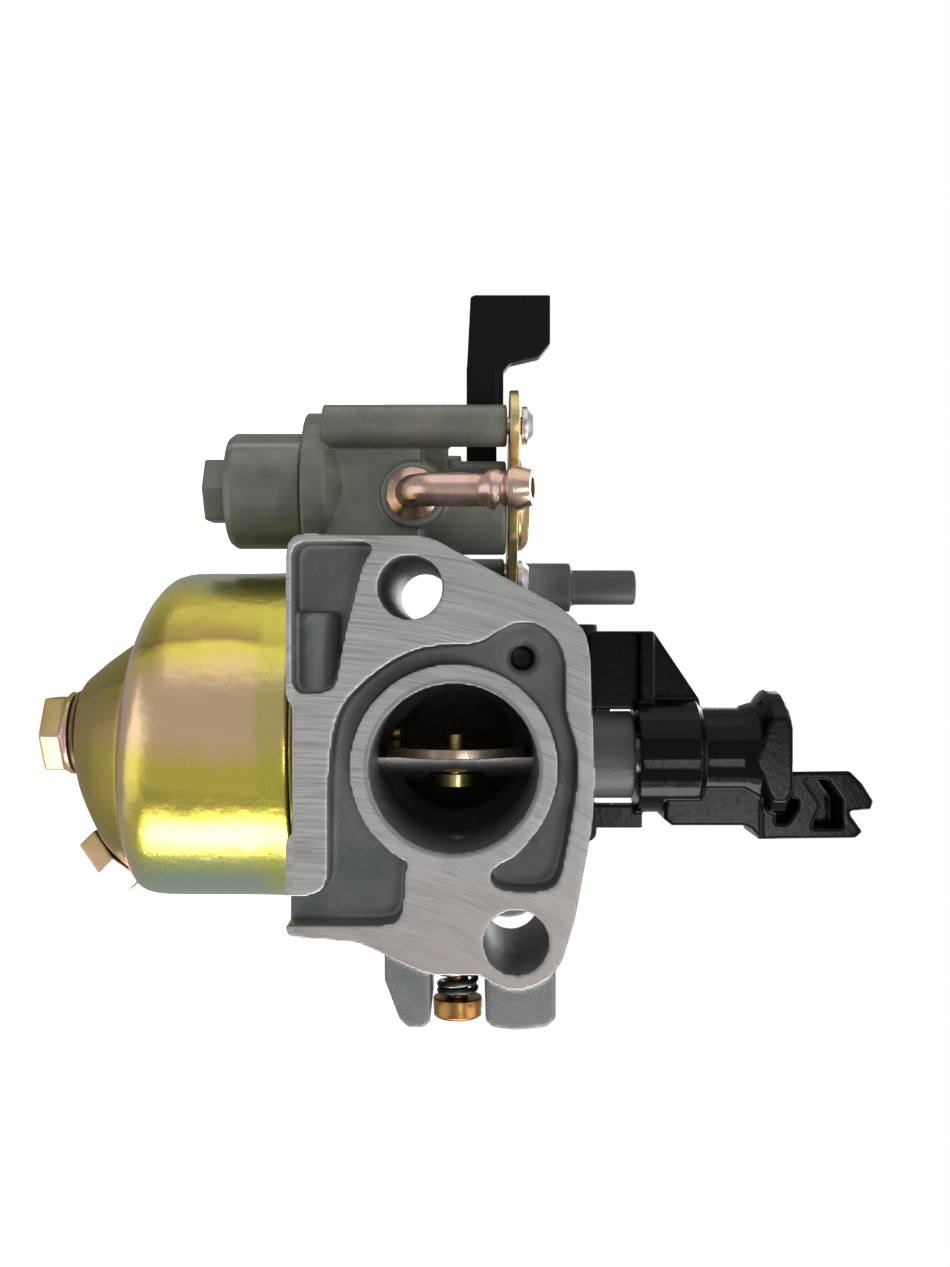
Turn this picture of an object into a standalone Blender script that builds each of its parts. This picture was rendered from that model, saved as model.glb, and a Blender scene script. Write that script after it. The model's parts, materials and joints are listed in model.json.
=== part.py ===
"""A float carburetor for a small single-cylinder engine, every piece its own solid.

The origin is where the throttle bore's axis meets the face that bolts to the engine.
+Z is up, +Y runs into the carburetor toward the air cleaner, and the idle mixture
screw is on the +X side. Sizes are in millimetres; MM turns them into Blender's metres.
"""

import math

import bmesh
import bpy
from mathutils import Matrix, Vector

MM = 0.001
GAP = 0.3  # left between pieces that touch

# Flanges, bores and studs.
LENGTH = 48.5  # engine face to air-cleaner face
FLANGE_DEPTH = 7.0
AIR_FLANGE_Y = 41.5
THROTTLE_R = 9.5
VENTURI_R = 7.8
CHOKE_R = 12.0
RING_R = 11.8  # machined ring around the throttle bore
STUD_A = (-20.4, -4.9)  # x, z of the long stud hole
STUD_B = (19.6, 7.05)  # x, z of the short stud hole
STUD_R = 3.6
POCKET_DEPTH = 4.0
BLIND_HOLE = (-12.3, 7.95)  # x, z of the small hole in the channel
VENT = (-21.8, 41.6)  # x, y of the upright vent nipple

# Float bowl: its axis is upright, at this x and y.
BOWL = (-2.2, 25.0)
BOWL_R = 21.0
DECK_TOP = -17.0
DECK_Z = -18.2  # underside that the gasket seals against
RIM_Z = -19.3
SEAT_Z = -48.4  # flat under the bowl bolt
BOWL_WALL = 1.0
PILLAR_R = 5.0
PILLAR_Z = -46.4
WELL_R = 2.2
BOLT_R = 2.6
BOLT_HEX_R = 5.35  # over the corners, halved
DRAIN_HEX_R = 5.0
SEAL_THICK = 0.6  # the flat washers under the bowl bolt and the drain screw
DRAIN_AT = (9.9, 25.0, -40.4)  # a point on the drain screw's axis
DRAIN_DIR = Vector((1, 0, -1)).normalized()
DRAIN_PAD = 3.6  # from DRAIN_AT to the pad that the washer seals against

# Throttle and choke.
THROTTLE_Y = 17.5
THROTTLE_SHAFT_R = 2.75
THROTTLE_BOSS_R = 5.45
THROTTLE_BOSS_Z = 22.1
CHOKE_Y = 36.25
CHOKE_SHAFT_R = 2.2
CHOKE_BOSS_Z = 17.8
PLATE = 1.2
SCREW_Z = 15.5  # height of the idle stop screw

# Idle mixture screw, along X.
PILOT_Y = 12.0
PILOT_Z = 0.3

# Float and its pin, which lies along Y.
PIN_X = -18.0
PIN_Z = -23.6
NEEDLE_X = -12.0

# Fuel valve, on an upright axis.
VALVE = (-32.0, 25.0)
CUP_X = -33.8
VALVE_R = 6.5
VALVE_BASE = -1.0
VALVE_TOP = 6.4
VALVE_SCREWS = ((-41.2, 17.0), (-22.8, 33.0))
COLLAR_Z = (-19.4, -16.4)
INLET = (-32.5, -5.3)  # x, z of the pipe's root


def along(direction, origin=(0, 0, 0), spin=0.0):
    """The matrix that lays local +Z along `direction`, with local +X spun from the level."""
    direction = Vector(direction).normalized()
    level = Vector((1, 0, 0)) if abs(direction.x) < 0.9 else Vector((0, 1, 0))
    across = (level - direction * level.dot(direction)).normalized()
    turn = Matrix((across, direction.cross(across), direction)).transposed().to_4x4()
    return Matrix.Translation(origin) @ turn @ Matrix.Rotation(spin, 4, "Z")


def mesh_object(name, points, faces):
    """An object from points in millimetres, with its faces pointing out."""
    mesh = bpy.data.meshes.new(name)
    bm = bmesh.new()
    verts = [bm.verts.new(Vector(point) * MM) for point in points]
    for face in faces:
        bm.faces.new([verts[i] for i in face])
    bmesh.ops.recalc_face_normals(bm, faces=bm.faces)
    bm.to_mesh(mesh)
    bm.free()
    obj = bpy.data.objects.new(name, mesh)
    bpy.context.collection.objects.link(obj)
    return obj


def prism(name, outline, low, high, axis="Y"):
    """An outline pushed from `low` to `high` along an axis; its points are in the other two."""
    place = {
        "X": lambda u, v, w: (w, u, v),
        "Y": lambda u, v, w: (u, w, v),
        "Z": lambda u, v, w: (u, v, w),
    }[axis]
    count = len(outline)
    points = [place(u, v, w) for w in (low, high) for u, v in outline]
    faces = [(i, (i + 1) % count, count + (i + 1) % count, count + i) for i in range(count)]
    faces += [tuple(range(count)), tuple(range(count, 2 * count))]
    return mesh_object(name, points, faces)


def box(name, low, high):
    outline = [(low[0], low[1]), (high[0], low[1]), (high[0], high[1]), (low[0], high[1])]
    return prism(name, outline, low[2], high[2], "Z")


def turned(name, profile, place, steps=32, ring=False, start=0.0):
    """A profile of (radius, height) turned about local Z; a ring closes on itself, a solid is capped."""
    points = []
    for radius, height in profile:
        for i in range(steps):
            angle = start + 2 * math.pi * i / steps
            points.append(place @ Vector((radius * math.cos(angle), radius * math.sin(angle), height)))
    rows = len(profile)
    faces = []
    for row in range(rows if ring else rows - 1):
        a, b = row * steps, (row + 1) % rows * steps
        faces += [(a + i, a + (i + 1) % steps, b + (i + 1) % steps, b + i) for i in range(steps)]
    if not ring:
        faces += [tuple(range(steps)), tuple(range((rows - 1) * steps, rows * steps))]
    return mesh_object(name, points, faces)


def rod(name, radius, start, end, steps=24, spin=0.0):
    """A straight round or many-sided bar between two points."""
    start, end = Vector(start), Vector(end)
    place = along(end - start, start, spin)
    return turned(name, [(radius, 0), (radius, (end - start).length)], place, steps)


def washer(name, inner, outer, start, end, steps=32):
    """A flat ring between two points on its axis."""
    start, end = Vector(start), Vector(end)
    tall = (end - start).length
    profile = [(inner, 0), (outer, 0), (outer, tall), (inner, tall)]
    return turned(name, profile, along(end - start, start), steps, ring=True)


def tube(name, path, radii, sides=12, inner=None, level=(1, 0, 0)):
    """A round bar or pipe that follows `path`, with a radius for each of its points."""
    rings = []
    for i, point in enumerate(path):
        ahead = path[min(i + 1, len(path) - 1)] - path[max(i - 1, 0)]
        ahead.normalize()
        side = Vector(level) - ahead * ahead.dot(Vector(level))
        side.normalize()
        rings.append((point, side, ahead.cross(side)))
    walls = [(rings, radii)]
    if inner:
        walls.append((rings[::-1], [inner] * len(rings)))
    points = []
    for ring_list, sizes in walls:
        for (centre, side, up), size in zip(ring_list, sizes):
            for k in range(sides):
                angle = 2 * math.pi * k / sides
                points.append(centre + size * (side * math.cos(angle) + up * math.sin(angle)))
    rows = len(points) // sides
    faces = []
    for row in range(rows if inner else rows - 1):
        a, b = row * sides, (row + 1) % rows * sides
        faces += [(a + k, a + (k + 1) % sides, b + (k + 1) % sides, b + k) for k in range(sides)]
    if not inner:
        faces += [tuple(range(sides)), tuple(range((rows - 1) * sides, rows * sides))]
    return mesh_object(name, points, faces)


def coil(name, place, mean_r, wire_r, length, turns, per_turn=11, sides=5):
    """A helical compression spring along local Z, its end turns closed up."""
    total = int(turns * per_turn)
    path = []
    for i in range(total + 1):
        share = i / total
        eased = share - 0.6 * math.sin(2 * math.pi * share) / (2 * math.pi)
        angle = 2 * math.pi * i / per_turn
        height = wire_r + (length - 2 * wire_r) * eased
        path.append(place @ Vector((mean_r * math.cos(angle), mean_r * math.sin(angle), height)))
    return tube(name, path, [wire_r] * len(path), sides, level=place.to_3x3() @ Vector((0, 0, 1)))


def arc(centre, radius, start, end, steps):
    """Points of an arc, by angles in degrees."""
    angles = [math.radians(start + (end - start) * i / steps) for i in range(steps + 1)]
    return [(centre[0] + radius * math.cos(a), centre[1] + radius * math.sin(a)) for a in angles]


def hull_outline(circles, steps=20):
    """The outline of a band stretched round circles of (x, y, radius)."""
    points = sorted({p for x, y, r in circles for p in arc((x, y), r, 0, 360, steps)[:-1]})
    outline = []
    for run in (points, points[::-1]):
        chain = []
        for p in run:
            while len(chain) > 1:
                (ax, ay), (bx, by) = chain[-2], chain[-1]
                if (bx - ax) * (p[1] - ay) - (by - ay) * (p[0] - ax) > 1e-6:
                    break
                chain.pop()
            chain.append(p)
        outline += chain[:-1]
    return outline


def combine(obj, tools, operation):
    """A Boolean of the object with each tool in turn; the tools are used up."""
    for tool in tools:
        modifier = obj.modifiers.new(tool.name, "BOOLEAN")
        modifier.operation = operation
        modifier.solver = "EXACT"
        modifier.object = tool
    bpy.context.view_layer.update()
    graph = bpy.context.evaluated_depsgraph_get()
    mesh = bpy.data.meshes.new_from_object(obj.evaluated_get(graph))
    obj.modifiers.clear()
    obj.data = mesh
    for tool in tools:
        bpy.data.objects.remove(tool)
    return obj


def eased(outline, reach=0.8):
    """An outline with its corners cut twice, no further than `reach` from each."""
    for _ in range(2):
        found = []
        for before, here, after in zip(outline[-1:] + outline[:-1], outline, outline[1:] + outline[:1]):
            for other in (before, after):
                share = min(0.25, reach / math.dist(here, other))
                found.append(tuple(a + (b - a) * share for a, b in zip(here, other)))
        outline = found
        reach = 0.4 * reach
    return outline


def join(obj, *tools):
    return combine(obj, tools, "UNION")


def cut(obj, *tools):
    return combine(obj, tools, "DIFFERENCE")


def set_origin(obj, point):
    """Moves the object's origin to a point, in millimetres, and leaves its shape where it is."""
    shift = Vector(point) * MM
    obj.data.transform(Matrix.Translation(-shift))
    obj.location = shift


def finish(obj, name, material, origin=None):
    """Names the finished piece, gives it its material and smooth round faces."""
    obj.name = name
    obj.data.name = name
    obj.data.materials.clear()
    obj.data.materials.append(material)
    obj.data.shade_smooth()
    obj.data.set_sharp_from_angle(angle=math.radians(30))
    if origin:
        set_origin(obj, origin)
    return obj


def material(name, colour, roughness, metallic):
    made = bpy.data.materials.new(name)
    made.use_nodes = True
    shader = made.node_tree.nodes["Principled BSDF"]
    shader.inputs["Base Color"].default_value = (*colour, 1)
    shader.inputs["Roughness"].default_value = roughness
    shader.inputs["Metallic"].default_value = metallic
    return made


def make_materials():
    return {
        "casting": material("cast_zinc_alloy", (0.36, 0.37, 0.36), 0.5, 0.9),
        "zinc": material("yellow_zinc_plate", (0.72, 0.62, 0.22), 0.3, 1.0),
        "pink_zinc": material("pink_zinc_plate", (0.75, 0.52, 0.33), 0.35, 1.0),
        "steel": material("plated_steel", (0.6, 0.58, 0.55), 0.3, 1.0),
        "spring": material("spring_steel", (0.3, 0.3, 0.3), 0.35, 1.0),
        "brass": material("brass", (0.72, 0.5, 0.2), 0.3, 1.0),
        "plastic": material("black_plastic", (0.012, 0.012, 0.013), 0.3, 0.0),
        "float": material("float_plastic", (0.05, 0.05, 0.055), 0.45, 0.0),
        "rubber": material("black_rubber", (0.02, 0.02, 0.02), 0.7, 0.0),
        "aluminium": material("cup_alloy", (0.4, 0.41, 0.39), 0.45, 0.9),
    }


def engine_flange_outline():
    """The engine flange's rim, x and z, from its lower -X corner and round."""
    return (
        [(-24.9, -18.9), (-26.2, -18.2), (-26.5, -17.1), (-26.2, -3.1), (-25.6, -1.7)]
        + [(-21.7, 5.4), (-18.6, 11.3), (-17.1, 13.4), (-15.2, 14.9), (-12.8, 15.4)]
        + [(-7.1, 15.6), (1.2, 16.0), (6.7, 15.6), (16.9, 13.7), (21.9, 12.2), (23.7, 10.8)]
        + [(24.8, 8.7), (25.1, 6.3), (24.0, 3.9), (23.3, 3.0), (23.3, -2.4), (22.8, -4.1)]
        + [(20.7, -8.5), (19.7, -10.7), (19.45, -13.1), (19.0, -18.9)]
        + [(7.8, -18.9), (7.6, -18.3), (-7.4, -18.3), (-7.6, -18.9)]
    )


def channel_outline():
    """The sunk channel that wraps the machined ring, x and z."""
    return (
        [(17.6, -25.0), (17.6, -7.6), (17.2, -6.3), (15.7, -5.7), (12.2, -5.6), (8.0, -4.6)]
        + [(4.0, 4.0), (7.0, 9.4), (9.8, 7.3), (11.0, 4.8), (11.9, 4.1), (13.1, 4.4), (13.8, 5.9)]
        + [(13.8, 9.9), (13.3, 11.3), (11.9, 12.1), (6.25, 13.2), (1.2, 14.0), (-2.4, 13.9)]
        + [(-6.2, 12.6), (-11.4, 12.6), (-13.5, 12.2), (-15.2, 11.1), (-16.4, 9.2), (-16.5, 7.3)]
        + [(-15.65, 5.4), (-14.0, 2.8), (-14.0, -0.5), (-13.5, -4.1), (-11.9, -7.4)]
        + [(-9.7, -10.2), (-7.4, -12.4), (-4.3, -13.6), (1.2, -14.1), (12.2, -14.1)]
        + [(13.6, -14.7), (14.4, -16.0), (14.5, -25.0)]
    )


def corner_pocket_outline():
    return [
        (-25.4, -18.1), (-25.5, -9.3), (-24.4, -9.3), (-23.2, -10.2), (-19.4, -11.2),
        (-14.7, -12.35), (-9.25, -13.3), (-8.5, -14.7), (-8.4, -18.1),
    ]


def body_solids():
    """The lumps of the main casting, flange first."""
    x, y = BOWL
    blind_x, blind_z = BLIND_HOLE
    chamber = along((0, 0, 1), (x, y, 0))
    return [
        prism("flange", eased(engine_flange_outline(), 0.5), 0, FLANGE_DEPTH),
        rod("barrel", 13.4, (0, 3, 0), (0, LENGTH - 2, 0), 32),
        box("waist", (-14.5, 5, -19), (13.5, 43, 0)),
        turned("deck", [(BOWL_R + 0.9, DECK_Z), (BOWL_R + 0.9, DECK_TOP)], chamber, 36),
        rod("throttle_boss", THROTTLE_BOSS_R, (0, THROTTLE_Y, 5), (0, THROTTLE_Y, THROTTLE_BOSS_Z)),
        rod("choke_boss", 4.6, (0, CHOKE_Y, 5), (0, CHOKE_Y, CHOKE_BOSS_Z)),
        rod("stud_tunnel", 6.0, (STUD_A[0], 1, STUD_A[1]), (STUD_A[0], LENGTH - 1, STUD_A[1])),
        box("tunnel_web", (-20.0, 5.5, -9.5), (-8, 43, -2)),
        rod("stud_boss", 5.6, (STUD_B[0], 3, STUD_B[1]), (STUD_B[0], 24, STUD_B[1])),
        box("boss_web", (8, 6, 3.5), (19.6, 22, 10.5)),
        prism(
            "air_flange",
            hull_outline([(*STUD_A, 6.2), (*STUD_B, 6.0), (0, 0, 16.2)]),
            AIR_FLANGE_Y,
            LENGTH,
        ),
        prism(
            "lower_lug",
            [(17, -7.9), (24.2, -7.9), (28.6, -6.2), (29.6, -5.2), (29.6, -3.4), (28.9, -2.7), (17, -2.7)],
            1.5,
            16,
        ),
        prism(
            "upper_lug",
            [(18, 3.6), (28.8, 3.6), (29.6, 4.5), (29.9, 7.0), (29.6, 10.4), (28.6, 11.6), (18, 11.6)],
            1.5,
            16,
        ),
        rod("pilot_boss", 3.6, (8, PILOT_Y, PILOT_Z), (23.6, PILOT_Y, PILOT_Z)),
        rod("vent_boss", 3.5, (*VENT, -6), (*VENT, 16.0)),
        box("vent_web", (VENT[0], 39.8, -4), (-8, 43.4, 9)),
        rod("vent_nipple", 2.5, (*VENT, 14), (*VENT, 25.3)),
        box("stop_lug", (-10.5, 22.6, 6), (-4.5, 28.2, 18.3)),
        rod("jet_boss", 3.4, (9.6, 28.3, 2), (9.6, 28.3, 15.4)),
        rod("blind_boss", 3.0, (blind_x, 5, blind_z), (blind_x, 14, blind_z)),
    ]


def petcock_solids():
    """The fuel valve's lumps, cast in one with the body."""
    collar = along((0, 0, 1), (CUP_X, VALVE[1], 0))
    tower = along((0, 0, 1), (*VALVE, 0))
    lumps = [
        box("block", (-39.3, 17.2, -18), (-27, 33.5, -4.4)),
        box("bridge", (-28, 19.5, -17.5), (-13, 33, -4.8)),
        turned("collar", [(10.2, COLLAR_Z[0]), (10.2, COLLAR_Z[1]), (8.2, COLLAR_Z[1] + 2)], collar, 28),
        turned("tower", [(VALVE_R, -8), (VALVE_R, VALVE_TOP)], tower, 28),
        rod("inlet_boss", 4.1, (INLET[0], 15.2, INLET[1]), (INLET[0], 20, INLET[1])),
    ]
    for i, (x, y) in enumerate(VALVE_SCREWS):
        lumps.append(rod(f"screw_post_{i}", 2.65, (x, y, -16.6), (x, y, VALVE_TOP)))
        middle_x, middle_y = (x + VALVE[0]) / 2, (y + VALVE[1]) / 2
        web = box(f"screw_web_{i}", (-4, -1.3, -16), (4, 1.3, VALVE_BASE))
        web.data.transform(Matrix.Rotation(math.atan2(y - VALVE[1], x - VALVE[0]), 4, "Z"))
        web.data.transform(Matrix.Translation(Vector((middle_x, middle_y, 0)) * MM))
        lumps.append(web)
    return lumps


def bore_cutter():
    """The air passage: throttle bore, venturi and choke bore."""
    profile = [(THROTTLE_R, -1), (THROTTLE_R, 20.5), (VENTURI_R, 24), (VENTURI_R, 25.6)]
    profile += [(8.9, 27.5), (10.2, 29.5), (11.3, 31.5), (CHOKE_R, 34), (CHOKE_R, LENGTH + 1)]
    return turned("air_passage", profile, along((0, 1, 0)), 36)


def float_chamber_cutters():
    """The hollow in the deck above the bowl, and room for the bowl's rim behind the flange."""
    x, y = BOWL
    return [
        rod("chamber", 18.4, (x, y, -25), (x, y, DECK_Z + 0.3), 32),
        rod("rim_seat", BOWL_R + GAP, (x, y, -25), (x, y, DECK_Z), 40),
    ]


def pillar_and_posts():
    """The jet pillar and the two posts that hold the float's pin."""
    x, y = BOWL
    solids = [rod("pillar", PILLAR_R, (x, y, -15), (x, y, PILLAR_Z))]
    for side in (-1, 1):
        low = (PIN_X - 1.8, y + side * 5.4 - 1.1, PIN_Z - 1.9)
        high = (PIN_X + 1.8, y + side * 5.4 + 1.1, DECK_Z + 1.0)
        solids.append(box("pin_post", low, high))
    return solids


def passage_cutters():
    """The drilled holes: wells, shafts, screws, jets and fuel ways."""
    x, y = BOWL
    blind_x, blind_z = BLIND_HOLE
    cup = along((0, 0, 1), (CUP_X, VALVE[1], 0))
    tower = along((0, 0, 1), (*VALVE, 0))
    holes = [
        rod("well", WELL_R, (x, y, PILLAR_Z - 1), (x, y, 0), 20),
        rod("bolt_thread", BOLT_R + GAP, (x, y, PILLAR_Z - 1), (x, y, -40.6), 20),
        rod("pillar_port", 0.8, (x - 8, y, -38.2), (x + 8, y, -38.2), 10),
        rod("pin_hole", 1.05, (PIN_X, y - 9, PIN_Z), (PIN_X, y + 9, PIN_Z), 12),
        rod("needle_seat", 2.0, (NEEDLE_X, y, -25), (NEEDLE_X, y, -15.2), 16),
        rod("needle_feed", 0.9, (NEEDLE_X, y, -16), (NEEDLE_X, y, -11), 10),
        rod("feed_way", 0.9, (NEEDLE_X + 0.4, y, -11.6), (VALVE[0], y, -11.6), 10),
        rod("throttle_hole", 3.05, (0, THROTTLE_Y, -13.2), (0, THROTTLE_Y, 24), 24),
        rod("throttle_seal_seat", 4.3, (0, THROTTLE_Y, 20.2), (0, THROTTLE_Y, 24), 28),
        rod("choke_hole", 2.5, (0, CHOKE_Y, -15.2), (0, CHOKE_Y, 20), 20),
        rod("choke_seal_seat", 3.6, (0, CHOKE_Y, 16.0), (0, CHOKE_Y, 20), 20),
        rod("pilot_thread", 1.7, (8, PILOT_Y, PILOT_Z), (26, PILOT_Y, PILOT_Z), 16),
        rod("stop_thread", 1.8, (-12, 25.4, SCREW_Z), (-3, 25.4, SCREW_Z), 16),
        rod("jet_well", 2.1, (9.6, 28.3, 5.4), (9.6, 28.3, 17), 16),
        rod("vent_bore", 1.5, (*VENT, 2), (*VENT, 27), 14),
        turned("strainer_seat", [(6.9, -21), (6.9, -17.3)], cup, 24),
        turned("strainer_port", [(2.4, -18), (2.4, -13.0)], cup, 16),
        turned("valve_seat", [(5.2, VALVE_BASE), (5.2, 9)], tower, 24),
        rod("port_cup", 0.8, (VALVE[0] - 2.2, VALVE[1], -14), (VALVE[0] - 2.2, VALVE[1], 0), 10),
        rod("port_out", 0.8, (VALVE[0] + 2.2, VALVE[1], -12.2), (VALVE[0] + 2.2, VALVE[1], 0), 10),
        rod("inlet_bore", 2.1, (INLET[0], 14, INLET[1]), (INLET[0], 20.5, INLET[1]), 16),
        rod("vent_jet", 0.9, (-9.5, LENGTH + 1, -10.8), (-9.5, 38, -10.8), 10),
        rod("blind_hole", 1.45, (blind_x, -1, blind_z), (blind_x, 12.4, blind_z), 20),
        rod("blind_sink", 2.0, (blind_x, 0, blind_z), (blind_x, POCKET_DEPTH + 0.4, blind_z), 20),
    ]
    for x, y in VALVE_SCREWS:
        holes.append(rod("screw_thread", 1.4, (x, y, -2), (x, y, 9), 12))
    for (x, z), radius in ((STUD_A, STUD_R), (STUD_B, STUD_R)):
        holes.append(rod("stud_hole", radius, (x, -2, z), (x, LENGTH + 2, z), 20))
    return holes


def lever_slot_cutter():
    """The sector of the valve tower's wall that the fuel lever swings through."""
    sweep = arc((0, 0), 9.0, 60, 212, 10)
    return prism(
        "lever_slot",
        [(VALVE[0] + u, VALVE[1] + v) for u, v in [(0.0, 0.0)] + sweep],
        0.6,
        9,
        "Z",
    )


def make_body(mat):
    body, *others = body_solids()
    join(body, *others)
    channel = prism("channel", eased(channel_outline()), -1, POCKET_DEPTH)
    cut(channel, rod("ring", RING_R, (0, -2, 0), (0, 6, 0), 48))
    corner = prism("corner", eased(corner_pocket_outline()), -1, POCKET_DEPTH + 0.5)
    floor = POCKET_DEPTH + 0.5
    cut(corner, rod("bump", 2.7, (-17.6, floor, -15.9), (-7.0, floor, -15.9), 16))
    cut(body, channel, corner)
    join(body, *petcock_solids())
    cut(body, *float_chamber_cutters())
    join(body, *pillar_and_posts())
    cut(body, *passage_cutters())
    cut(body, bore_cutter(), lever_slot_cutter())
    return finish(body, "carburetor_body", mat["casting"])


BOWL_RINGS = (
    # height, centre x, radius of the outside
    (RIM_Z, -2.2, BOWL_R),
    (-32.8, -2.2, BOWL_R),
    (-35.4, -2.0, 20.6),
    (-37.6, -1.2, 19.5),
    (-39.4, 0.2, 17.6),
    (-40.7, 1.7, 15.4),
    (-44.5, 1.0, 12.0),
    (-46.9, -0.6, 9.0),
    (SEAT_Z, -2.3, 6.0),
)


def bowl_shell(name, inset, lift, steps):
    points = []
    for height, centre, radius in BOWL_RINGS:
        for i in range(steps):
            angle = 2 * math.pi * i / steps
            reach = radius - inset
            z = height + lift * (height < RIM_Z)
            points.append((centre + reach * math.cos(angle), BOWL[1] + reach * math.sin(angle), z))
    rows = len(BOWL_RINGS)
    faces = []
    for row in range(rows - 1):
        a, b = row * steps, (row + 1) * steps
        faces += [(a + i, a + (i + 1) % steps, b + (i + 1) % steps, b + i) for i in range(steps)]
    faces += [tuple(range(steps)), tuple(range((rows - 1) * steps, rows * steps))]
    return mesh_object(name, points, faces)


def make_bowl(mat):
    steps = 40
    drain = Vector(DRAIN_AT)
    bowl = bowl_shell("bowl", 0.0, 0.0, steps)
    hollow = bowl_shell("bowl_hollow", BOWL_WALL, BOWL_WALL, steps)
    lid = turned(
        "bowl_mouth",
        [(BOWL_R - BOWL_WALL, RIM_Z - 0.5), (BOWL_R - BOWL_WALL, RIM_Z + 1)],
        along((0, 0, 1), (*BOWL, 0)),
        steps,
    )
    cut(bowl, join(hollow, lid))
    join(bowl, rod("drain_boss", 5.7, drain + DRAIN_DIR * 1.5, drain + DRAIN_DIR * DRAIN_PAD))
    cut(
        bowl,
        rod("drain_face", 5.4, drain + DRAIN_DIR * DRAIN_PAD, drain + DRAIN_DIR * 12),
        rod("drain_hole", 2.6, drain - DRAIN_DIR, drain + DRAIN_DIR * 9, 16),
        rod("bolt_hole", BOLT_R + 0.4, (*BOWL, SEAT_Z - 2), (*BOWL, SEAT_Z + 3), 20),
    )
    return finish(bowl, "float_bowl", mat["zinc"])


def make_bowl_fittings(mat):
    x, y = BOWL
    gasket = washer("gasket", 18.9, 20.9, (x, y, DECK_Z - GAP), (x, y, RIM_Z + GAP), 48)
    finish(gasket, "bowl_gasket", mat["rubber"])
    top = SEAT_Z - GAP
    seal = washer("seal", BOLT_R + 0.4, 5.6, (x, y, top), (x, y, top - SEAL_THICK), 28)
    finish(seal, "bowl_bolt_washer", mat["pink_zinc"])
    head = top - SEAL_THICK - GAP
    bolt = rod("bolt", 5.4, (x, y, head), (x, y, head - 0.8), 28)
    join(
        bolt,
        rod("hex", BOLT_HEX_R, (x, y, head - 0.5), (x, y, head - 3.6), 6, math.pi / 6),
        rod("shank", BOLT_R, (x, y, head - 0.4), (x, y, -41.0), 20),
    )
    finish(bolt, "bowl_bolt", mat["pink_zinc"])


def make_drain(mat):
    face = Vector(DRAIN_AT) + DRAIN_DIR * (DRAIN_PAD + GAP)
    under = face + DRAIN_DIR * (SEAL_THICK + GAP)
    seal = washer("seal", 2.6, 5.0, face, face + DRAIN_DIR * SEAL_THICK, 28)
    finish(seal, "drain_screw_washer", mat["pink_zinc"])
    screw = rod("screw", DRAIN_HEX_R, under, under + DRAIN_DIR * 2.8, 6, math.pi / 6)
    join(screw, rod("shank", 2.2, under + DRAIN_DIR * 0.5, Vector(DRAIN_AT) + DRAIN_DIR * 0.5, 16))
    finish(screw, "drain_screw", mat["pink_zinc"])


def make_float(mat):
    """The float: a ring round the pillar, hung from the pin by an arm with two ears."""
    x, y = BOWL
    low, high = -36.0, -28.0
    floats = washer("float", 7.6, 16.3, (x, y, low), (x, y, high), 36)
    cut(floats, box("relief", (x + 2.5, y - 3.0, low - 1), (x + 18, y + 3.0, low + 2.5)))
    join(
        floats,
        box("arm", (PIN_X - 1.4, y - 3.6, PIN_Z - 1.4), (NEEDLE_X + 2.2, y + 3.6, PIN_Z + 0.2)),
        box("arm_drop", (NEEDLE_X - 1.6, y - 3.6, high - 2), (NEEDLE_X + 2.2, y + 3.6, PIN_Z)),
        rod("hinge", 1.7, (PIN_X, y - 3.6, PIN_Z), (PIN_X, y + 3.6, PIN_Z), 16),
    )
    cut(floats, rod("hinge_hole", 1.05, (PIN_X, y - 6, PIN_Z), (PIN_X, y + 6, PIN_Z), 12))
    finish(floats, "float", mat["float"], (PIN_X, y, PIN_Z))
    pin = rod("pin", 0.75, (PIN_X, y - 7.2, PIN_Z), (PIN_X, y + 7.2, PIN_Z), 14)
    join(pin, rod("pin_head", 1.2, (PIN_X, y - 7.9, PIN_Z), (PIN_X, y - 7.0, PIN_Z), 14))
    finish(pin, "float_pin", mat["steel"])
    rest = PIN_Z + 0.2 + GAP
    profile = [(1.0, rest), (1.0, rest + 1.2), (1.6, rest + 1.2), (1.6, rest + 5.2), (0.35, rest + 7.0)]
    needle = turned("needle", profile, along((0, 0, 1), (NEEDLE_X, y, 0)), 16)
    finish(needle, "float_needle", mat["brass"], (NEEDLE_X, y, rest))


def make_jets(mat):
    x, y = BOWL
    upright = along((0, 0, 1), (x, y, 0))
    tip = -7.4
    nozzle = turned(
        "nozzle",
        [(0.9, -34.6), (1.85, -34.6), (1.85, -12), (1.4, -11), (1.4, tip), (0.9, tip)],
        upright,
        18,
        ring=True,
    )
    for level in (-31.0, -27.0, -23.0, -19.0):
        cut(nozzle, rod("bleed", 0.45, (x - 3, y, level), (x + 3, y, level), 8))
    finish(nozzle, "main_nozzle", mat["brass"])
    jet = turned(
        "jet",
        [(0.5, -39.9), (1.9, -39.9), (1.9, -35.0), (0.5, -35.0)],
        upright,
        18,
        ring=True,
    )
    cut(jet, box("slot", (x - 3, y - 0.35, -41), (x + 3, y + 0.35, -39.2)))
    finish(jet, "main_jet", mat["brass"])
    place = along((0, 0, 1), (9.6, 28.3, 0))
    head = 15.4 + GAP
    pilot = turned(
        "pilot",
        [(0.9, 5.8), (1.6, 7.4), (1.6, head), (2.9, head), (2.9, head + 2.2), (2.3, head + 2.8)],
        place,
        20,
    )
    cut(pilot, box("slot", (5, 27.85, head + 1.7), (14, 28.75, head + 4)))
    finish(pilot, "pilot_jet", mat["plastic"])


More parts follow.
